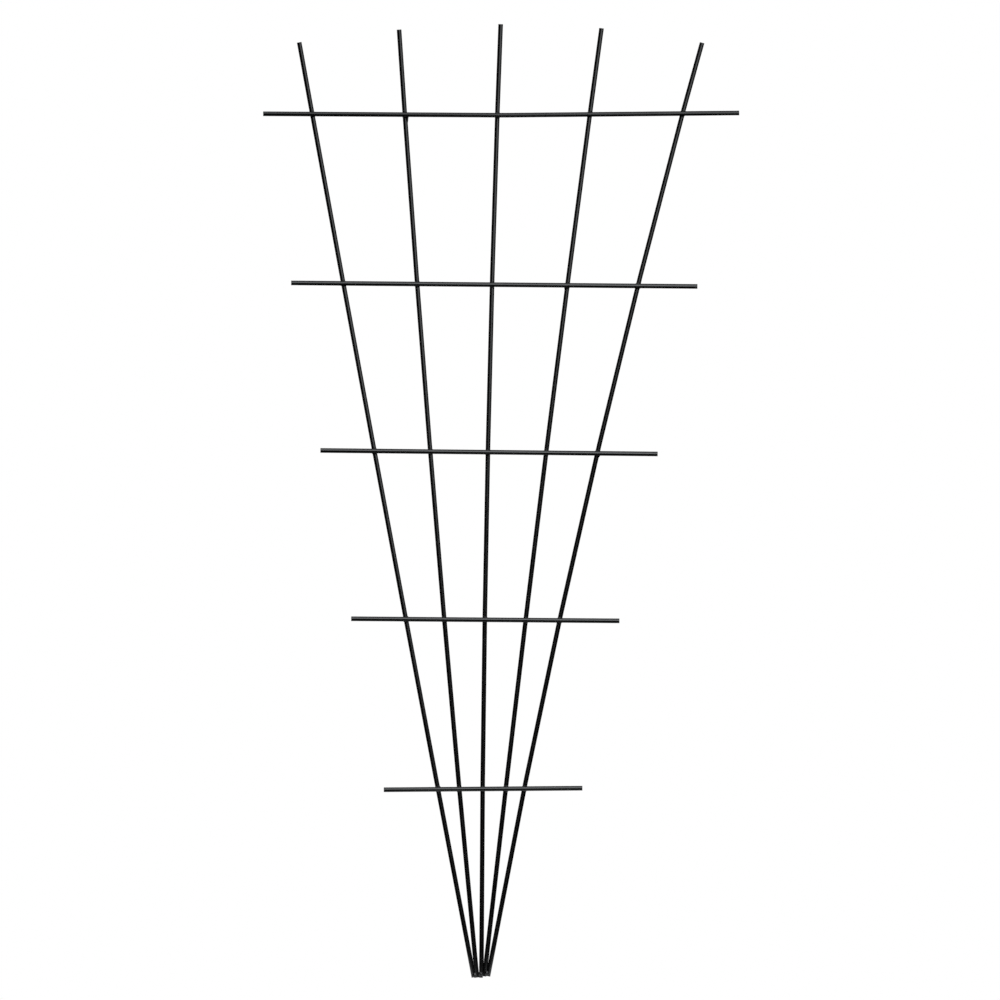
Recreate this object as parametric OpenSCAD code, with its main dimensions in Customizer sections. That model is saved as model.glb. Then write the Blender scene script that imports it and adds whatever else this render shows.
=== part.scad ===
// Espalier frame: five round steel rods welded together at the foot and fanned out behind five crossbars.
// The uprights stand in the plane y = 0 and the crossbars lie across their front, towards -Y.
// Millimetres, +Z up, with the origin on the ground line at the middle of the foot.

/* [Rod] */
// outside diameter of the coated round bar that every upright and crossbar is cut from
rod_d = 9; // [6:0.5:12]
// bevel left by deburring the free ends
end_bevel = 0.6; // [0.2:0.1:1.5]

/* [Uprights] */
// cut length of a rod, before the small difference of each one
upright_len = 1800; // [1700:1:1900]
// difference of the outer left rod from that length
cut_outer_left = -4; // [-15:1:15]
// difference of the inner left rod from that length
cut_inner_left = -4; // [-15:1:15]
// difference of the centre rod from that length
cut_centre = 1; // [-15:1:15]
// difference of the inner right rod from that length
cut_inner_right = 4; // [-15:1:15]
// difference of the outer right rod from that length
cut_outer_right = 9; // [-15:1:15]
// spacing of the rods along the top bar
top_pitch = 174.5; // [140:0.5:190]
// distance of the fan's middle from the foot's middle at the top bar, to the right
fan_shift = 31; // [-60:1:60]
// distance above each weld at which the weld's heat has bent the rod
bend_rise = 14; // [10:1:30]
// angle by which each weld has pulled the outer left rod over
pull_outer_left = 0.1; // [0:0.05:1]
// angle by which each weld has pulled the inner left rod over
pull_inner_left = 0.3; // [0:0.05:1]
// angle by which each weld has pulled the centre rod over
pull_centre = 0.35; // [0:0.05:1]
// angle by which each weld has pulled the inner right rod over
pull_inner_right = 0.25; // [0:0.05:1]
// angle by which each weld has pulled the outer right rod over
pull_outer_right = 0.9; // [0:0.05:1]

/* [Crossbars] */
// distance that each bar reaches past the outer rods of a straight fan
bar_overhang = 100.5; // [60:0.5:140]
// height of the bottom bar above the ground line
bottom_bar_z = 356.5; // [300:0.5:420]
// distance from the top bar up to the end of a rod that stands upright
tip_reach = 171.5; // [140:0.5:210]
// distance of the bottom bar's middle to the right of the fan's middle
bar_shift = 3.7; // [-10:0.1:10]
// further shift to the right of each bar from the one below it
bar_shift_step = 0.9; // [-2:0.1:2]
// height of the lower bar above even spacing
rise_lower = 1.4; // [-5:0.1:5]
// height of the middle bar above even spacing
rise_middle = -0.2; // [-5:0.1:5]
// height of the upper bar above even spacing
rise_upper = -1.9; // [-5:0.1:5]
// tilt of the bottom bar, right end up
tilt_bottom = 0.45; // [-1:0.05:1]
// tilt of the lower bar, right end up
tilt_lower = -0.45; // [-1:0.05:1]
// tilt of the middle bar, right end up
tilt_middle = -0.6; // [-1:0.05:1]
// tilt of the upper bar, right end up
tilt_upper = -0.5; // [-1:0.05:1]
// tilt of the top bar, right end up
tilt_top = 0.1; // [-1:0.05:1]
// angle by which each half of the top bar rises from its bend beside the centre rod
top_bar_rise = 0.45; // [0:0.05:1]

/* [Crossing welds] */
// distance that a weld stands out past the rod's radius
weld_out = 2; // [1.5:0.1:4]
// gap between bar and rod, which the weld bridges
fit_gap = 0.2; // [0.1:0.05:0.5]
// radius of the unfilled root between bar and rod
root_r = 1.5; // [1:0.1:2]
// how far the welds differ from one another in place and size
weld_vary = 0.3; // [0:0.1:0.8]
// radius of the bead that ran down beside the rod at a few crossings, where it leaves the bar's middle
run_r = 4.9; // [4.5:0.1:5.5]
// radius of that bead at its lower end
run_end_r = 1.5; // [1:0.1:2]
// sideways distance of that bead from the middle of the rod
run_side = 3; // [2.6:0.1:3.4]
// length below the bar of the bead beside the inner left rod
run_inner_left = 12; // [4:0.5:16]
// length below the bar of the bead beside the inner right rod
run_inner_right = 4; // [2:0.5:16]
// length below the bar of the bead beside the outer right rod
run_outer_right = 3; // [2:0.5:16]

/* [Foot] */
// distance by which evenly spaced rods would have melted into each other on the ground line
foot_melt = 2.2; // [1.2:0.1:2.8]
// sideways shift of the outer left rod from even spacing on the ground line
shift_outer_left = 0.6; // [-1.2:0.1:1.2]
// sideways shift of the inner left rod from even spacing on the ground line
shift_inner_left = -0.5; // [-1.2:0.1:1.2]
// sideways shift of the centre rod from even spacing on the ground line
shift_centre = 0.9; // [-1.2:0.1:1.2]
// sideways shift of the inner right rod from even spacing on the ground line
shift_inner_right = -0.5; // [-1.2:0.1:1.2]
// sideways shift of the outer right rod from even spacing on the ground line
shift_outer_right = -0.9; // [-1.2:0.1:1.2]
// height at which the two right-hand rods end above the ground line
right_lift = 2; // [0:0.5:6]
// distance that a lump of weld would reach past half way to the next one
lump_lap = 0.95; // [0.5:0.05:2]
// distance that the lumps stand out in front of the rods
lump_out = 2.2; // [1:0.1:3.5]
// height of the left lump's middle
lump_z = 4.4; // [3:0.1:8]
// rise of each lump above the one on its left
lump_rise = 1.9; // [0:0.1:3]

/* [Hidden] */
$fn = 96;

coat = "#1b1c1d";
weld_coat = "#262728";

rod_r = rod_d / 2;
// Planes of the crossbars' middles and of the welds, half way between bar and rod.
bar_y = -rod_d - fit_gap;
weld_y = bar_y / 2;

// Rods count from 0 on the left, bars from 0 at the bottom.
cut_diff = [cut_outer_left, cut_inner_left, cut_centre, cut_inner_right, cut_outer_right];
pull = [pull_outer_left, pull_inner_left, pull_centre, pull_inner_right, pull_outer_right];
shift = [shift_outer_left, shift_inner_left, shift_centre, shift_inner_right, shift_outer_right];
lift = [0, 0, 0, right_lift, right_lift];
tilt = [tilt_bottom, tilt_lower, tilt_middle, tilt_upper, tilt_top];
rise = [0, rise_lower, rise_middle, rise_upper, 0];
last_rod = len(pull) - 1;
centre = last_rod / 2;
top = len(tilt) - 1;

// The bars share the height between the bottom bar and the tips, and three lumps share the foot's width.
bar_pitch = (upright_len - tip_reach - bottom_bar_z) / top;
foot_pitch = rod_d - foot_melt;
lump_pitch = len(pull) * foot_pitch / 3;
lump_r = lump_pitch / 2 + lump_lap;

// Length that a piece runs past a mitre before it is cut, and the side of the block that cuts it.
over = rod_d;
block = 4 * rod_d;
// Length of rod and bar that a weld is fitted round.
near = 6 * rod_d;
// Depth in front of the rods' middle plane to which the foot's weld fills the grooves between them.
groove_y = 0.62 * rod_r;

// Rod, bar, side (1 right, -1 left) and length of the beads that ran down past the bar.
run_outs = [[1, 4, 1, run_inner_left], [3, 3, -1, run_inner_right], [4, 2, 1, run_outer_right]];

// Layout of the fan, in the plane of the uprights

function bar_z(b) = bottom_bar_z + b * bar_pitch + rise[b];

// A rod is straight between its points: point 0 is on the ground line and point n just above bar n - 1.
function point_z(n) = n == 0 ? 0 : bar_z(n - 1) + bend_rise;
function foot_x(i) = (i - centre) * foot_pitch + shift[i];
function top_x(i) = fan_shift + (i - centre) * top_pitch;

// Sideways run of rod i, leaving the ground at angle a, to its point n and to bar b.
function run_to_point(a, i, n) =
    n == 0 ? 0 : run_to_point(a, i, n - 1) + (point_z(n) - point_z(n - 1)) * tan(a + (n - 1) * pull[i]);
function run_to_bar(a, i, b) = run_to_point(a, i, b) + (bar_z(b) - point_z(b)) * tan(a + b * pull[i]);

// Lean at the ground that brings a rod to its place on the top bar, by repeated correction.
function find_lean(i, a, steps) =
    steps == 0 ? a
    : find_lean(i, a + atan((top_x(i) - foot_x(i) - run_to_bar(a, i, top)) / bar_z(top)), steps - 1);
foot_lean = [for (i = [0 : last_rod]) find_lean(i, 0, 12)];

// Lean of rod i above its point n, which is also its lean where it crosses bar n.
function lean(i, n) = foot_lean[i] + n * pull[i];
function rod_x(i, b) = foot_x(i) + run_to_bar(foot_lean[i], i, b);

// Length of rod from point n to the next, and from the ground line to the square-cut end.
function stretch(i, n) = (point_z(n + 1) - point_z(n)) / cos(lean(i, n));
function end_gap(i) = (lift[i] + rod_r * abs(sin(foot_lean[i]))) / cos(foot_lean[i]);
function to_last_bend(i, n = 0) = n > top ? 0 : stretch(i, n) + to_last_bend(i, n + 1);

// Straight stretches of a rod from its foot to its tip.
function stretches(i) = concat(
    [stretch(i, 0) - end_gap(i)],
    [for (n = [1 : top]) stretch(i, n)],
    [upright_len + cut_diff[i] + end_gap(i) - to_last_bend(i)]
);

// Distance between the outer rods at bar b if they were straight, and the bar's length.
function fan_width(b) = last_rod * (foot_pitch + (top_pitch - foot_pitch) * bar_z(b) / bar_z(top));
function bar_len(b) = fan_width(b) + 2 * bar_overhang;

// A bar's middle, the place it turns about, its angle at x, and its height there.
// The top bar is bent up to both sides, beside the centre rod's weld.
function bar_mid(b) = (rod_x(0, b) + rod_x(last_rod, b)) / 2 + bar_shift + b * bar_shift_step;
function bar_pivot(b) = b == top ? rod_x(centre, top) + bend_rise : bar_mid(b);
function bar_angle(b, x) = tilt[b] + (b == top ? sign(x - bar_pivot(b)) * top_bar_rise : 0);
function bar_height(b, x) = bar_z(b) + (x - bar_pivot(b)) * tan(bar_angle(b, x));

// Crossing of rod i and bar b.
function cross_z(i, b) = bar_height(b, rod_x(i, b));
function cross_x(i, b) = rod_x(i, b) + (cross_z(i, b) - bar_z(b)) * tan(lean(i, b));

// A fixed value from -1 to 1 for each crossing, so that no two welds are alike.
function vary(i, b, n) = sin(137 * i + 71 * b + 53 * n + 29 * i * b);

// Shared shapes

// A length of rod along +Z with a bevel at its far end.
module bevelled(h) {
    cylinder(h = h - end_bevel, d = rod_d);
    translate([0, 0, h - end_bevel])
        cylinder(h = end_bevel, d1 = rod_d, d2 = rod_d - 2 * end_bevel);
}

// A rod along +Z that turns by the same angle at the end of each stretch, mitred there.
module bent_rod(runs, turn, n = 0) {
    back = n == 0 ? 0 : over;
    if (n == len(runs) - 1)
        translate([0, 0, -back])
            bevelled(runs[n] + back);
    else
        translate([0, 0, runs[n]])
            rotate([0, turn / 2, 0]) {
                difference() {
                    rotate([0, -turn / 2, 0])
                        translate([0, 0, -runs[n] - back])
                        cylinder(h = back + runs[n] + over, d = rod_d);
                    translate([-block / 2, -block / 2, 0])
                        cube(block);
                }
                difference() {
                    rotate([0, turn / 2, 0])
                        bent_rod(runs, turn, n + 1);
                    translate([-block / 2, -block / 2, -block])
                        cube(block);
                }
            }
}

// Everything past the plane half way between rod j and the rod on its right, near the ground.
// side 1 is the part on the right of that plane, side -1 the part on its left.
module past_neighbour(j, side) {
    a = foot_lean[j];
    b = foot_lean[j + 1];
    x = (foot_x(j) * cos(a) + foot_x(j + 1) * cos(b)) / (cos(a) + cos(b));
    translate([x, 0, 0])
        rotate([0, (a + b) / 2, 0])
        translate([side > 0 ? 0 : -block, -block / 2, -block / 2])
        cube([block, block, 3 * block]);
}

module upright(i) {
    difference() {
        translate([foot_x(i), 0, 0])
            rotate([0, foot_lean[i], 0])
            translate([0, 0, end_gap(i)])
            bent_rod(stretches(i), pull[i]);
        if (i < last_rod) past_neighbour(i, 1);
        if (i > 0) past_neighbour(i - 1, -1);
    }
}

// One half of the top bar along +X from the bend, mitred at x = 0.
module half_bar(h) {
    difference() {
        rotate([0, 90 - top_bar_rise, 0])
            translate([0, 0, -over])
            bevelled(h + over);
        translate([-block, -block / 2, -block / 2])
            cube(block);
    }
}

module crossbar(b) {
    right_len = bar_mid(b) + bar_len(b) / 2 - bar_pivot(b);
    left_len = bar_len(b) - right_len;
    translate([bar_pivot(b), bar_y, bar_z(b)])
        rotate([0, -tilt[b], 0]) {
            if (b == top) {
                half_bar(right_len);
                rotate([0, 0, 180]) half_bar(left_len);
            } else {
                rotate([0, 90, 0]) bevelled(right_len);
                rotate([0, -90, 0]) bevelled(left_len);
            }
        }
}

// A ball of weld with its poles along Y.
module ball(r) {
    rotate([90, 33, 0]) sphere(r);
}

// A tapered bead of weld that ran down one side of rod i below the bar, seen from the crossing.
module run_out(i, b, side, length) {
    translate([0, -weld_y, 0])
        rotate([0, lean(i, b), 0])
        translate([side * run_side, -rod_r / 2, 0])
        rotate([180, 0, 0])
        cylinder(h = rod_r + length, r1 = run_r, r2 = run_end_r);
}

// Weld metal round the place where bar b lies on rod i, open at the root between them.
module weld(i, b) {
    dx = weld_vary * vary(i, b, 1);
    dz = weld_vary * vary(i, b, 2);
    translate([cross_x(i, b), weld_y, cross_z(i, b)])
        difference() {
            union() {
                translate([dx, 0, dz])
                    ball(rod_r + weld_out + weld_vary * vary(i, b, 0));
                for (r = run_outs)
                    if (r[0] == i && r[1] == b) run_out(i, b, r[2], r[3]);
            }
            rotate([90, 0, 0])
                cylinder(h = rod_d, r = root_r, center = true);
            translate([0, -weld_y, 0])
                rotate([0, lean(i, b), 0])
                cylinder(h = near, d = rod_d, center = true);
            translate([0, weld_y, 0])
                rotate([0, 90 - bar_angle(b, rod_x(i, b)), 0])
                cylinder(h = near, d = rod_d, center = true);
        }
}

// The lower end of rod i and the space under it, as far as the foot's lumps of weld reach.
module rod_end(i) {
    translate([foot_x(i), 0, 0])
        rotate([0, foot_lean[i], 0])
        translate([0, 0, -over])
        cylinder(h = 2 * block, d = rod_d);
}

// Lump k of weld on the front of the rod ends, from -1 on the left to 1 on the right, flat at the ground.
module foot_lump(k) {
    difference() {
        intersection() {
            translate([k * lump_pitch, lump_r - rod_r - lump_out, lump_z + (k + 1) * lump_rise])
                sphere(lump_r);
            translate([k * lump_pitch - (k < 0 ? block : lump_pitch / 2), -block - groove_y, 0])
                cube([k == 0 ? lump_pitch : block + lump_pitch / 2, block, block]);
        }
        for (i = [0 : last_rod]) rod_end(i);
    }
}

// Sub-parts

module upright_outer_left() { color(coat) upright(0); }
module upright_inner_left() { color(coat) upright(1); }
module upright_centre() { color(coat) upright(2); }
module upright_inner_right() { color(coat) upright(3); }
module upright_outer_right() { color(coat) upright(4); }

module crossbar_bottom() { color(coat) crossbar(0); }
module crossbar_lower() { color(coat) crossbar(1); }
module crossbar_middle() { color(coat) crossbar(2); }
module crossbar_upper() { color(coat) crossbar(3); }
module crossbar_top() { color(coat) crossbar(4); }

module weld_bottom_outer_left() { color(weld_coat) weld(0, 0); }
module weld_bottom_inner_left() { color(weld_coat) weld(1, 0); }
module weld_bottom_centre() { color(weld_coat) weld(2, 0); }
module weld_bottom_inner_right() { color(weld_coat) weld(3, 0); }
module weld_bottom_outer_right() { color(weld_coat) weld(4, 0); }

module weld_lower_outer_left() { color(weld_coat) weld(0, 1); }
module weld_lower_inner_left() { color(weld_coat) weld(1, 1); }
module weld_lower_centre() { color(weld_coat) weld(2, 1); }
module weld_lower_inner_right() { color(weld_coat) weld(3, 1); }
module weld_lower_outer_right() { color(weld_coat) weld(4, 1); }

module weld_middle_outer_left() { color(weld_coat) weld(0, 2); }
module weld_middle_inner_left() { color(weld_coat) weld(1, 2); }
module weld_middle_centre() { color(weld_coat) weld(2, 2); }
module weld_middle_inner_right() { color(weld_coat) weld(3, 2); }
module weld_middle_outer_right() { color(weld_coat) weld(4, 2); }

module weld_upper_outer_left() { color(weld_coat) weld(0, 3); }
module weld_upper_inner_left() { color(weld_coat) weld(1, 3); }
module weld_upper_centre() { color(weld_coat) weld(2, 3); }
module weld_upper_inner_right() { color(weld_coat) weld(3, 3); }
module weld_upper_outer_right() { color(weld_coat) weld(4, 3); }

module weld_top_outer_left() { color(weld_coat) weld(0, 4); }
module weld_top_inner_left() { color(weld_coat) weld(1, 4); }
module weld_top_centre() { color(weld_coat) weld(2, 4); }
module weld_top_inner_right() { color(weld_coat) weld(3, 4); }
module weld_top_outer_right() { color(weld_coat) weld(4, 4); }

module foot_weld_left() { color(weld_coat) foot_lump(-1); }
module foot_weld_middle() { color(weld_coat) foot_lump(0); }
module foot_weld_right() { color(weld_coat) foot_lump(1); }

upright_outer_left();
upright_inner_left();
upright_centre();
upright_inner_right();
upright_outer_right();
crossbar_bottom();
crossbar_lower();
crossbar_middle();
crossbar_upper();
crossbar_top();
weld_bottom_outer_left();
weld_bottom_inner_left();
weld_bottom_centre();
weld_bottom_inner_right();
weld_bottom_outer_right();
weld_lower_outer_left();
weld_lower_inner_left();
weld_lower_centre();
weld_lower_inner_right();
weld_lower_outer_right();
weld_middle_outer_left();
weld_middle_inner_left();
weld_middle_centre();
weld_middle_inner_right();
weld_middle_outer_right();
weld_upper_outer_left();
weld_upper_inner_left();
weld_upper_centre();
weld_upper_inner_right();
weld_upper_outer_right();
weld_top_outer_left();
weld_top_inner_left();
weld_top_centre();
weld_top_inner_right();
weld_top_outer_right();
foot_weld_left();
foot_weld_middle();
foot_weld_right();
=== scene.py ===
"""Looks of the espalier frame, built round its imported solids."""

import math

import bmesh
import bpy
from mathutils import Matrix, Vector, noise


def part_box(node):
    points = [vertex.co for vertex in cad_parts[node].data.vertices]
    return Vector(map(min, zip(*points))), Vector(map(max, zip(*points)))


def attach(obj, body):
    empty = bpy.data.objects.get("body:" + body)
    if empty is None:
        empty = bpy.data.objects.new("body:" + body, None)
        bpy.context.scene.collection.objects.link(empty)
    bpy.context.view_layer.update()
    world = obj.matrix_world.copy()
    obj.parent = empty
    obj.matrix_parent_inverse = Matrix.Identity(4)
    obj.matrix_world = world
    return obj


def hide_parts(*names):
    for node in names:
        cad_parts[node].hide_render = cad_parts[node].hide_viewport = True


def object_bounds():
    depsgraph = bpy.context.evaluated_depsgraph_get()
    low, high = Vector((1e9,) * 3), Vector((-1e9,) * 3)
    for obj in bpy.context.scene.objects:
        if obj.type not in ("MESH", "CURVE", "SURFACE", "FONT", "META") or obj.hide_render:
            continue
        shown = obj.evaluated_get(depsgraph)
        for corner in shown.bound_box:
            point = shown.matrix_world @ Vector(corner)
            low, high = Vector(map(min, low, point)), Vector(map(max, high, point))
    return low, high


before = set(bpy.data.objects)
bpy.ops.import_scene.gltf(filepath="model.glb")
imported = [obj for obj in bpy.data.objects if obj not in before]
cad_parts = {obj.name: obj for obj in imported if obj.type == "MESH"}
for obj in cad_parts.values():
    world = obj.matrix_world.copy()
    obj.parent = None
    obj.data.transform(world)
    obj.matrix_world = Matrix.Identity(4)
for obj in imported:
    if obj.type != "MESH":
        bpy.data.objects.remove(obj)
cad_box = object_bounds()

# Names, with the rods from left to right and the bars from bottom to top
RODS = ["outer_left", "inner_left", "centre", "inner_right", "outer_right"]
BARS = ["bottom", "lower", "middle", "upper", "top"]
FOOT_LUMPS = ["left", "middle", "right"]
LAST = len(RODS) - 1
CENTRE = LAST // 2
TOP = len(BARS) - 1

# Layout in millimetres and degrees, as in the part's source, each list in the order of the names
MM = 0.001
ROD_R = 4.5
UPRIGHT_LEN = 1800.0
CUT_DIFF = [-4.0, -4.0, 1.0, 4.0, 9.0]
PULL = [0.1, 0.3, 0.35, 0.25, 0.9]
LIFT = [0.0, 0.0, 0.0, 2.0, 2.0]
TOP_PITCH = 174.5
FAN_SHIFT = 31.0
BEND_RISE = 14.0
BAR_OVERHANG = 100.5
BOTTOM_BAR_Z = 356.5
TIP_REACH = 171.5
BAR_SHIFT = 3.7
BAR_SHIFT_STEP = 0.9
RISE = [0.0, 1.4, -0.2, -1.9, 0.0]
TILT = [0.45, -0.45, -0.6, -0.5, 0.1]
TOP_BAR_RISE = 0.45
FIT_GAP = 0.2
FOOT_PITCH = 6.8
FOOT_SHIFT = [0.6, -0.5, 0.9, -0.5, -0.9]
BAR_Y = -2 * ROD_R - FIT_GAP
BAR_PITCH = (UPRIGHT_LEN - TIP_REACH - BOTTOM_BAR_Z) / TOP
LEAN_ROUNDS = 12

# Fineness of the meshes, lengths in millimetres
AROUND = 48
RING_STEP = 12.0
BEND_EASE = 10.0
BEND_STEPS = 4
CORNER_RINGS = 6
JOIN_DISTANCE = 0.002
WELD_VOXEL = 0.4
SMOOTH_ROUNDS = 5
SMOOTH_FACTOR = 0.5

# Cut ends: rounding of their edges, distance that they stay inside the solids, length of rod with thin coat
END_ROUND = 0.6
FOOT_ROUND = 0.3
END_INSET = 0.02
WORN_LENGTH = 1.0
EDGE_WEAR = 0.6
# Rings of the slightly hollow cut face: depth, share of the face's radius, and wear
FACE_RINGS = [(0.02, 0.93, 0.5), (0.05, 0.8, 0.0), (0.05, 0.55, 0.0), (0.04, 0.28, 0.0)]

# Uneven thickness of the coat along the rods, in millimetres and waves per millimetre
SKIN_DEPTH = 0.03
SKIN_FINENESS = 0.035

# Weld metal: layers of lumps as height in millimetres and fineness, and ripples
LUMP_LAYERS = [(0.25, 0.3), (0.14, 0.75), (0.05, 1.7)]
RIPPLE_HEIGHT = 0.05
RIPPLE_LENGTH = 1.4
RIPPLE_SIDE = 9.0
RIPPLE_UP = 4.0
# Height above a rod where the lumps begin, and over which they grow to full size
LUMP_FROM = 0.3
LUMP_OVER = 1.0
# Height above a rod below which the metal sinks into it, over what height, and how deep
SINK_FROM = 0.6
SINK_OVER = 0.5
SINK_DEPTH = 0.35

# Coat: colours, then scale per metre and detail of each noise, then the noise range that shows
COAT_DARK = (0.003, 0.003, 0.0031)
ROD_PALE = (0.005, 0.005, 0.0052)
WELD_PALE = (0.008, 0.008, 0.0082)
WORN_COLOUR = (0.05, 0.049, 0.047, 1.0)
HIGHLIGHT_TINT = (0.94, 0.98, 1.0, 1.0)
HIGHLIGHT_LEVEL = 0.5
COAT_NOISE = {
    "patches": (26.0, 3.0),
    "peel": (620.0, 2.0),
    "grit": (2600.0, 1.0),
    "dust": (900.0, 2.0),
    "chips": (1100.0, 2.0),
}
DUST_RANGE = (0.62, 0.78)
CHIP_RANGE = (0.42, 0.62)
PATCH_RANGE = (0.3, 0.7)
TONE_RANGE = (0.25, 0.75)
# Shares of patches and dust in the colour, and the roughness that patches, dust and wear give
PATCH_TONE = 0.7
DUST_TONE = 0.3
PATCH_ROUGHNESS = (0.15, 0.23)
DUST_ROUGHNESS = 0.12
WORN_ROUGHNESS = 0.2
# Height of orange peel and grit in millimetres
ROD_RELIEF = (0.025, 0.003)
WELD_RELIEF = (0.03, 0.004)

# Floor in metres, with the share of white that is added where it is seen
FLOOR_RADIUS = 0.34
FLOOR_DROP = 0.0005
FLOOR_SEGMENTS = 96
FLOOR_LIFT = 0.55
FLOOR_DARK = (0.79, 0.79, 0.785)
FLOOR_PALE = (0.83, 0.83, 0.825)
FLOOR_NOISE = (3.0, 2.0)
FLOOR_ROUGHNESS = 0.8
FADE_FROM = 0.35
FADE_TO = 0.98

# World: directions that count as behind the frame, and the dim glow that grows from low to high
WHITE = (1.0, 1.0, 1.0, 1.0)
BEHIND_RANGE = (0.82, 0.94)
GLOW_RANGE = (-0.1, 0.9)
GLOW = 0.03

# Lamps in metres: name, place, aim, width, height, watts, spread in degrees
LAMPS = [
    ("overhead", (0.2, -1.8, 3.0), (0.2, -1.8, 0.0), 2.8, 3.0, 54.0, 180.0),
    ("front_grid", (0.04, -0.9, 1.0), (0.04, 0.0135, 0.5933), 1.5, 1.5, 1.7, 46.0),
    ("front_right", (1.5, -2.7, 1.84), (0.05, 0.0, 1.84), 3.4, 1.65, 34.0, 180.0),
]

# Camera in metres, square on to the frame with no perspective
VIEW_WIDTH = 1.888
CAMERA_PLACE = (0.03606, -6.0, 0.90205)
CAMERA_TURN = (math.radians(90), 0.0, 0.0)


# Layout of the fan

def tan(angle):
    return math.tan(math.radians(angle))


def bar_z(b):
    return BOTTOM_BAR_Z + b * BAR_PITCH + RISE[b]


def point_z(n):
    """Height of a rod's foot (0) or of its bend n, just above a bar."""
    return 0.0 if n == 0 else bar_z(n - 1) + BEND_RISE


def foot_x(i):
    return (i - CENTRE) * FOOT_PITCH + FOOT_SHIFT[i]


def run_to_point(angle, i, n):
    """Sideways run of rod i, leaving the ground at that angle, to its bend n."""
    return sum((point_z(k + 1) - point_z(k)) * tan(angle + k * PULL[i]) for k in range(n))


def run_to_bar(angle, i, b):
    return run_to_point(angle, i, b) + (bar_z(b) - point_z(b)) * tan(angle + b * PULL[i])


def find_lean(i):
    """Lean at the ground that brings rod i to its place on the top bar."""
    target = FAN_SHIFT + (i - CENTRE) * TOP_PITCH - foot_x(i)
    angle = 0.0
    for _ in range(LEAN_ROUNDS):
        angle += math.degrees(math.atan((target - run_to_bar(angle, i, TOP)) / bar_z(TOP)))
    return angle


FOOT_LEAN = [find_lean(i) for i in range(len(RODS))]


def rod_x(i, b):
    return foot_x(i) + run_to_bar(FOOT_LEAN[i], i, b)


def along(angle):
    """Unit vector in the frame's plane, at that angle from upright."""
    return Vector((math.sin(math.radians(angle)), 0.0, math.cos(math.radians(angle))))


def rod_points(i):
    """Foot, bends and tip of rod i."""
    lean = FOOT_LEAN[i]
    start = Vector((foot_x(i), 0.0, 0.0))
    sine = abs(math.sin(math.radians(lean)))
    cosine = math.cos(math.radians(lean))
    points = [start + along(lean) * (LIFT[i] + ROD_R * sine) / cosine]
    for n in range(1, TOP + 2):
        points.append(Vector((foot_x(i) + run_to_point(lean, i, n), 0.0, point_z(n))))
    done = sum((b - a).length for a, b in zip(points, points[1:]))
    tip_lean = lean + (TOP + 1) * PULL[i]
    points.append(points[-1] + along(tip_lean) * (UPRIGHT_LEN + CUT_DIFF[i] - done))
    return points


def bar_len(b):
    top_share = bar_z(b) / bar_z(TOP)
    return LAST * (FOOT_PITCH + (TOP_PITCH - FOOT_PITCH) * top_share) + 2 * BAR_OVERHANG


def bar_mid(b):
    return (rod_x(0, b) + rod_x(LAST, b)) / 2 + BAR_SHIFT + b * BAR_SHIFT_STEP


def bar_pivot(b):
    """Place along bar b about which it tilts, which is the bend of the top bar."""
    return rod_x(CENTRE, TOP) + BEND_RISE if b == TOP else bar_mid(b)


def bar_angle(b, side):
    """Angle of bar b, right end up, on the right (1) or left (-1) of its pivot."""
    return TILT[b] + (side * TOP_BAR_RISE if b == TOP else 0.0)


def bar_points(b):
    """Left end, bend if there is one, and right end of bar b."""
    pivot = Vector((bar_pivot(b), BAR_Y, bar_z(b)))
    right = bar_mid(b) + bar_len(b) / 2 - pivot.x
    left = bar_len(b) - right
    ends = [
        pivot - along(90 - bar_angle(b, -1)) * left,
        pivot + along(90 - bar_angle(b, 1)) * right,
    ]
    return [ends[0], pivot, ends[1]] if b == TOP else ends


# New objects

def new_piece(name, mesh):
    mesh.shade_smooth()
    piece = bpy.data.objects.new(name, mesh)
    bpy.context.scene.collection.objects.link(piece)
    return piece


def finished(name, bm):
    mesh = bpy.data.meshes.new(name)
    bm.to_mesh(mesh)
    bm.free()
    return new_piece(name, mesh)


# Round rods

def eased(points):
    """The line with each sharp bend eased into a short curve, and with points about a ring step apart."""
    line = [points[0]]
    for before, bend, after in zip(points, points[1:], points[2:]):
        entry = bend + (before - bend).normalized() * BEND_EASE
        leave = bend + (after - bend).normalized() * BEND_EASE
        for k in range(BEND_STEPS + 1):
            t = k / BEND_STEPS
            line.append(entry * (1 - t) ** 2 + bend * 2 * t * (1 - t) + leave * t ** 2)
    line.append(points[-1])
    full = [line[0]]
    for a, b in zip(line, line[1:]):
        count = max(1, round((b - a).length / RING_STEP))
        full += [a.lerp(b, k / count) for k in range(1, count + 1)]
    return full


def end_rings(rounding):
    """Distance back from the cut end, radius and wear of the rings that round it off, from rod to face."""
    rings = [(rounding + WORN_LENGTH, ROD_R, 0.0), (rounding, ROD_R, EDGE_WEAR)]
    for k in range(1, CORNER_RINGS + 1):
        turn = math.radians(90 * k / CORNER_RINGS)
        back = rounding * (1 - math.sin(turn))
        radius = ROD_R - rounding * (1 - math.cos(turn))
        rings.append((back, radius, 1.0))
    face = ROD_R - rounding
    rings += [(depth, face * share, worn) for depth, share, worn in FACE_RINGS]
    return [(back + END_INSET, radius, worn) for back, radius, worn in rings]


def cut_end(line, rounding):
    """Centre, direction into the rod, radius and wear of each ring at the line's start, from rod to face."""
    inward = (line[1] - line[0]).normalized()
    return [(line[0] + inward * back, inward, radius, worn) for back, radius, worn in end_rings(rounding)]


def clipped(point, planes):
    """The point, moved back on to any plane that it lies beyond."""
    for origin, normal in planes:
        past = (point - origin).dot(normal)
        if past > 0:
            point = point - normal * past
    return point


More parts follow.
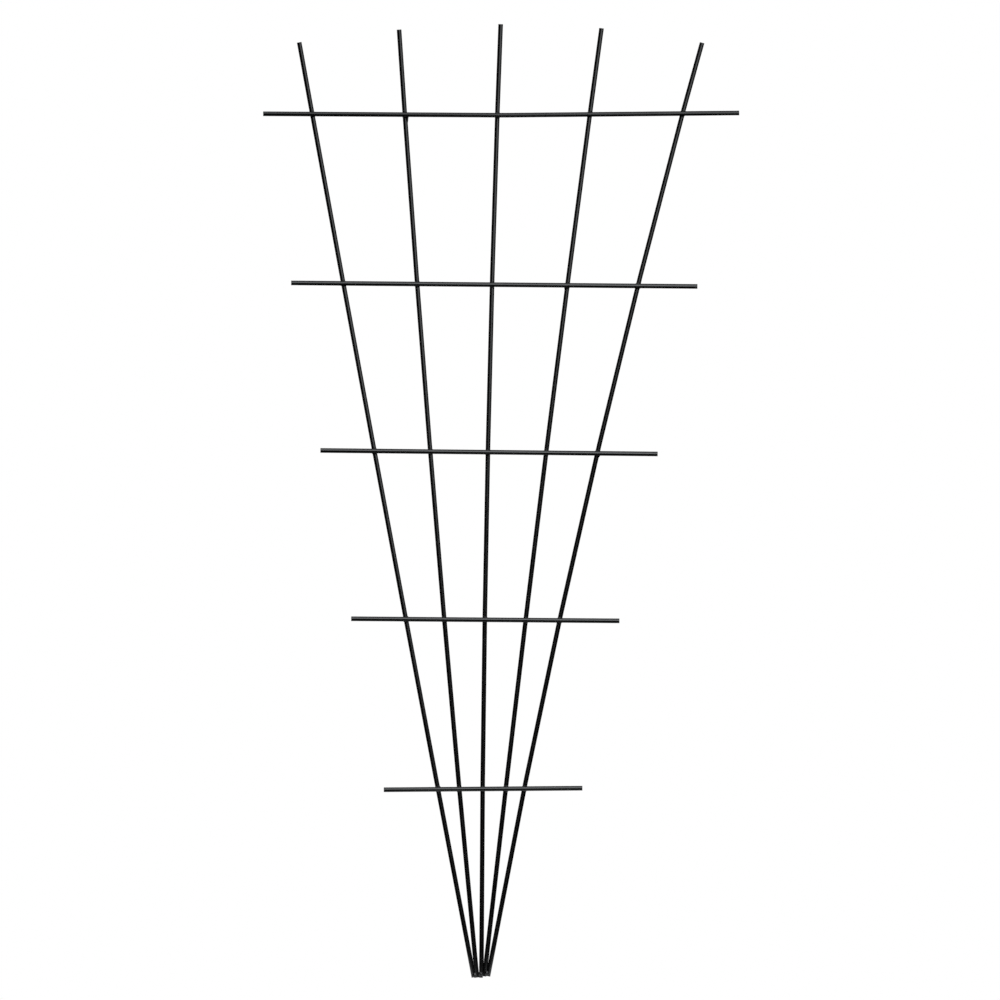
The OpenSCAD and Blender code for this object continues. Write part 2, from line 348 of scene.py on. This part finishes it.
def rod_mesh(name, points, start_round, end_round, planes=()):
    """A closed round rod along the points, in the frame's plane, with rounded cut ends."""
    line = eased(points)
    rings = cut_end(line, start_round)[::-1]
    for before, centre, after in zip(line, line[1:], line[2:]):
        rings.append((centre, (after - before).normalized(), ROD_R, 0.0))
    for centre, inward, radius, worn in cut_end(line[::-1], end_round):
        rings.append((centre, -inward, radius, worn))
    bm = bmesh.new()
    wear = bm.verts.layers.float.new("wear")
    loops = []
    for centre, tangent, radius, worn in rings:
        sideways = Vector((tangent.z, 0.0, -tangent.x))
        loop = []
        for k in range(AROUND):
            turn = 2 * math.pi * k / AROUND
            spoke = sideways * math.cos(turn) + Vector((0.0, math.sin(turn), 0.0))
            place = centre + spoke * radius
            skin = SKIN_DEPTH * (1 + noise.noise(place * SKIN_FINENESS)) if radius == ROD_R else 0.0
            loop.append(bm.verts.new(clipped(place - spoke * skin, planes) * MM))
            loop[-1][wear] = worn
        loops.append(loop)
    for low, high in zip(loops, loops[1:]):
        for k in range(AROUND):
            n = (k + 1) % AROUND
            bm.faces.new((low[k], low[n], high[n], high[k]))
    for loop, ring, flip in ((loops[0], rings[0], True), (loops[-1], rings[-1], False)):
        hub = bm.verts.new(clipped(ring[0], planes) * MM)
        for k in range(AROUND):
            n = (k + 1) % AROUND
            bm.faces.new((loop[n], loop[k], hub) if flip else (loop[k], loop[n], hub))
    bmesh.ops.recalc_face_normals(bm, faces=bm.faces[:])
    return finished(name, bm)


def neighbour_planes(i):
    """Planes half way to the next rods at the foot, where neighbours have melted together."""
    planes = []
    for j, side in ((i, 1), (i - 1, -1)):
        if 0 <= j < LAST:
            a = math.radians(FOOT_LEAN[j])
            b = math.radians(FOOT_LEAN[j + 1])
            x = (foot_x(j) * math.cos(a) + foot_x(j + 1) * math.cos(b)) / (math.cos(a) + math.cos(b))
            middle = (a + b) / 2
            normal = Vector((math.cos(middle), 0.0, -math.sin(middle))) * side
            planes.append((Vector((x, 0.0, 0.0)), normal))
    return planes


# Weld metal

def line_distance(point, origin, direction):
    """Distance from an endless line, and the unit vector away from it."""
    off = point - origin
    off = off - direction * off.dot(direction)
    return off.length, off.normalized()


def within_one(value):
    return min(1.0, max(0.0, value))


def weld_mesh(name, node, lines, ripple_from):
    """The node's solid made into lumpy weld metal that runs into the rods along the given lines."""
    bm = bmesh.new()
    bm.from_mesh(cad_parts[node].data)
    bmesh.ops.remove_doubles(bm, verts=bm.verts[:], dist=JOIN_DISTANCE * MM)
    raw = finished(name + "_raw", bm)
    remesh = raw.modifiers.new("remesh", "REMESH")
    remesh.mode = "VOXEL"
    remesh.voxel_size = WELD_VOXEL * MM
    smooth = raw.modifiers.new("smooth", "SMOOTH")
    smooth.factor = SMOOTH_FACTOR
    smooth.iterations = SMOOTH_ROUNDS
    graph = bpy.context.evaluated_depsgraph_get()
    mesh = bpy.data.meshes.new_from_object(raw.evaluated_get(graph))
    bpy.data.objects.remove(raw)
    mesh.name = name
    normals = [v.normal.copy() for v in mesh.vertices]
    for v, normal in zip(mesh.vertices, normals):
        place = v.co / MM
        gaps = [line_distance(place, origin, direction) for origin, direction in lines]
        distance, away = min(gaps, key=lambda gap: gap[0])
        clear = distance - ROD_R
        free = within_one((clear - LUMP_FROM) / LUMP_OVER)
        lump = sum(height * noise.noise(place * fineness) for height, fineness in LUMP_LAYERS)
        ripple = RIPPLE_HEIGHT * math.sin(2 * math.pi * (place - ripple_from).length / RIPPLE_LENGTH)
        sunk = SINK_DEPTH * within_one((SINK_FROM - clear) / SINK_OVER)
        moved = (place + normal * (lump + ripple) * free - away * sunk) * MM
        v.co = [min(max(c, low), high) for c, low, high in zip(moved, *cad_box)]
    return new_piece(name, mesh)


# Materials

def new_material(name):
    """A material with its node tree, its shader and the object's own coordinates."""
    material = bpy.data.materials.new(name)
    material.use_nodes = True
    tree = material.node_tree
    coords = tree.nodes.new("ShaderNodeTexCoord").outputs["Object"]
    return material, tree, tree.nodes["Principled BSDF"], coords


def noise_node(tree, coords, scale, detail):
    node = tree.nodes.new("ShaderNodeTexNoise")
    node.inputs["Scale"].default_value = scale
    node.inputs["Detail"].default_value = detail
    tree.links.new(coords, node.inputs["Vector"])
    return node.outputs["Fac"]


def ranged(tree, value, low, high, out_low=0.0, out_high=1.0):
    node = tree.nodes.new("ShaderNodeMapRange")
    for socket, number in (("From Min", low), ("From Max", high), ("To Min", out_low), ("To Max", out_high)):
        node.inputs[socket].default_value = number
    tree.links.new(value, node.inputs["Value"])
    return node.outputs["Result"]


def maths(tree, operation, *values):
    node = tree.nodes.new("ShaderNodeMath")
    node.operation = operation
    for socket, value in zip(node.inputs, values):
        if isinstance(value, (int, float)):
            socket.default_value = value
        else:
            tree.links.new(value, socket)
    return node.outputs[0]


def add_share(tree, value, other, share):
    """The value plus a share of the other."""
    return maths(tree, "ADD", value, maths(tree, "MULTIPLY", other, share))


def colour_ramp(tree, value, *stops):
    """Colour between two stops, each a position and a colour."""
    node = tree.nodes.new("ShaderNodeValToRGB")
    for element, (position, colour) in zip(node.color_ramp.elements, stops):
        element.position = position
        element.color = (*colour, 1.0)
    tree.links.new(value, node.inputs["Fac"])
    return node.outputs["Color"]


def seen_share(tree, glossy_share):
    """1 for rays from the camera or through glass, that share for rays off gloss, and 0 for the rest."""
    path = tree.nodes.new("ShaderNodeLightPath")
    seen = maths(tree, "MAXIMUM", path.outputs["Is Camera Ray"], path.outputs["Is Transmission Ray"])
    glossy = maths(tree, "MULTIPLY", path.outputs["Is Glossy Ray"], glossy_share)
    return maths(tree, "MAXIMUM", seen, glossy)


def coat_material(name, pale, relief):
    """Semi-gloss black powder coat with orange peel, dust, uneven gloss and thin coat on worn edges."""
    material, tree, shader, coords = new_material(name)
    layers = {layer: noise_node(tree, coords, *size) for layer, size in COAT_NOISE.items()}
    dust = ranged(tree, layers["dust"], *DUST_RANGE)
    chips = ranged(tree, layers["chips"], *CHIP_RANGE)
    tone = add_share(tree, maths(tree, "MULTIPLY", layers["patches"], PATCH_TONE), dust, DUST_TONE)
    whole = colour_ramp(tree, tone, (TONE_RANGE[0], COAT_DARK), (TONE_RANGE[1], pale))
    edges = tree.nodes.new("ShaderNodeAttribute")
    edges.attribute_name = "wear"
    worn = maths(tree, "MULTIPLY", edges.outputs["Fac"], chips)
    colour = tree.nodes.new("ShaderNodeMix")
    colour.data_type = "RGBA"
    colour.inputs["B"].default_value = WORN_COLOUR
    tree.links.new(worn, colour.inputs["Factor"])
    tree.links.new(whole, colour.inputs["A"])
    tree.links.new(colour.outputs["Result"], shader.inputs["Base Color"])
    roughness = ranged(tree, layers["patches"], *PATCH_RANGE, *PATCH_ROUGHNESS)
    roughness = add_share(tree, roughness, dust, DUST_ROUGHNESS)
    roughness = add_share(tree, roughness, worn, WORN_ROUGHNESS)
    tree.links.new(roughness, shader.inputs["Roughness"])
    shader.inputs["Specular IOR Level"].default_value = HIGHLIGHT_LEVEL
    shader.inputs["Specular Tint"].default_value = HIGHLIGHT_TINT
    peel, grit = relief
    height = add_share(tree, maths(tree, "MULTIPLY", layers["peel"], peel), layers["grit"], grit)
    bump = tree.nodes.new("ShaderNodeBump")
    bump.inputs["Strength"].default_value = 1.0
    bump.inputs["Distance"].default_value = MM
    tree.links.new(height, bump.inputs["Height"])
    tree.links.new(bump.outputs["Normal"], shader.inputs["Normal"])
    return material


def floor_material():
    """Pale paper, white where it is seen, that thins out to nothing at the edge of the disc."""
    material, tree, shader, coords = new_material("pale_floor")
    paper = colour_ramp(tree, noise_node(tree, coords, *FLOOR_NOISE), (0.0, FLOOR_DARK), (1.0, FLOOR_PALE))
    tree.links.new(paper, shader.inputs["Base Color"])
    shader.inputs["Roughness"].default_value = FLOOR_ROUGHNESS
    shader.inputs["Emission Color"].default_value = WHITE
    lift = maths(tree, "MULTIPLY", seen_share(tree, 1.0), FLOOR_LIFT)
    tree.links.new(lift, shader.inputs["Emission Strength"])
    length = tree.nodes.new("ShaderNodeVectorMath")
    length.operation = "LENGTH"
    tree.links.new(coords, length.inputs[0])
    near = FADE_FROM * FLOOR_RADIUS
    far = FADE_TO * FLOOR_RADIUS
    fade = ranged(tree, length.outputs["Value"], near, far, 1.0, 0.0)
    tree.links.new(fade, shader.inputs["Alpha"])
    return material


rod_coat = coat_material("rod_coat", ROD_PALE, ROD_RELIEF)
weld_coat = coat_material("weld_coat", WELD_PALE, WELD_RELIEF)


# The pieces

def place_piece(piece, node, material):
    piece.data.materials.append(material)
    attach(piece, "root")
    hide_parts(node)


rod_lines = []
for i, rod in enumerate(RODS):
    points = rod_points(i)
    piece = rod_mesh(f"rod_{rod}", points, FOOT_ROUND, END_ROUND, neighbour_planes(i))
    place_piece(piece, f"upright_{rod}", rod_coat)
    rod_lines.append([(a, (b - a).normalized()) for a, b in zip(points, points[1:])])

for b, bar in enumerate(BARS):
    points = bar_points(b)
    piece = rod_mesh(f"bar_{bar}", points, END_ROUND, END_ROUND)
    place_piece(piece, f"crossbar_{bar}", rod_coat)
    for i, rod in enumerate(RODS):
        node = f"weld_{bar}_{rod}"
        half = 1 if b == TOP and rod_x(i, b) >= bar_pivot(b) else 0
        start = points[half]
        bar_line = (start, (points[half + 1] - start).normalized())
        low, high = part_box(node)
        side = RIPPLE_SIDE if i % 2 else -RIPPLE_SIDE
        up = RIPPLE_UP if b % 2 else -RIPPLE_UP
        ripple_from = (low + high) / 2 / MM + Vector((side, 0.0, up))
        weld = weld_mesh(f"bead_{bar}_{rod}", node, [rod_lines[i][b], bar_line], ripple_from)
        place_piece(weld, node, weld_coat)

for lump in FOOT_LUMPS:
    node = f"foot_weld_{lump}"
    low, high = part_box(node)
    ripple_from = Vector((high.x, low.y, high.z)) / MM
    weld = weld_mesh(f"foot_bead_{lump}", node, [line[0] for line in rod_lines], ripple_from)
    place_piece(weld, node, weld_coat)


# Stage

def build_world():
    """White where it is seen and behind the frame for gloss, and a dim studio for the rest."""
    world = bpy.data.worlds.new("studio")
    bpy.context.scene.world = world
    world.use_nodes = True
    tree = world.node_tree
    tree.nodes.clear()
    direction = tree.nodes.new("ShaderNodeTexCoord").outputs["Generated"]
    parts = tree.nodes.new("ShaderNodeSeparateXYZ")
    tree.links.new(direction, parts.inputs[0])
    behind = ranged(tree, parts.outputs["Y"], *BEHIND_RANGE)
    white = tree.nodes.new("ShaderNodeBackground")
    white.inputs["Color"].default_value = WHITE
    white.inputs["Strength"].default_value = 1.0
    studio = tree.nodes.new("ShaderNodeBackground")
    studio.inputs["Color"].default_value = WHITE
    tree.links.new(ranged(tree, parts.outputs["Z"], *GLOW_RANGE, 0.0, GLOW), studio.inputs["Strength"])
    mix = tree.nodes.new("ShaderNodeMixShader")
    tree.links.new(seen_share(tree, behind), mix.inputs[0])
    tree.links.new(studio.outputs[0], mix.inputs[1])
    tree.links.new(white.outputs[0], mix.inputs[2])
    out = tree.nodes.new("ShaderNodeOutputWorld")
    tree.links.new(mix.outputs[0], out.inputs["Surface"])


def build_floor():
    bm = bmesh.new()
    bmesh.ops.create_circle(bm, cap_ends=True, segments=FLOOR_SEGMENTS, radius=FLOOR_RADIUS)
    floor = finished("floor", bm)
    floor.location = (0.0, 0.0, -FLOOR_DROP)
    floor.data.materials.append(floor_material())


def area_lamp(name, place, aim, width, height, watts, spread):
    data = bpy.data.lights.new(name, "AREA")
    data.shape = "RECTANGLE"
    data.size = width
    data.size_y = height
    data.energy = watts
    data.spread = math.radians(spread)
    lamp = bpy.data.objects.new(name, data)
    lamp.location = place
    lamp.rotation_euler = (Vector(aim) - Vector(place)).to_track_quat("-Z", "Y").to_euler()
    bpy.context.scene.collection.objects.link(lamp)


def build_camera():
    data = bpy.data.cameras.new("camera")
    data.type = "ORTHO"
    data.ortho_scale = VIEW_WIDTH
    camera = bpy.data.objects.new("camera", data)
    camera.location = CAMERA_PLACE
    camera.rotation_euler = CAMERA_TURN
    bpy.context.scene.collection.objects.link(camera)
    bpy.context.scene.camera = camera


build_world()
build_floor()
for lamp_row in LAMPS:
    area_lamp(*lamp_row)
build_camera()
bpy.context.scene.view_settings.view_transform = "Standard"
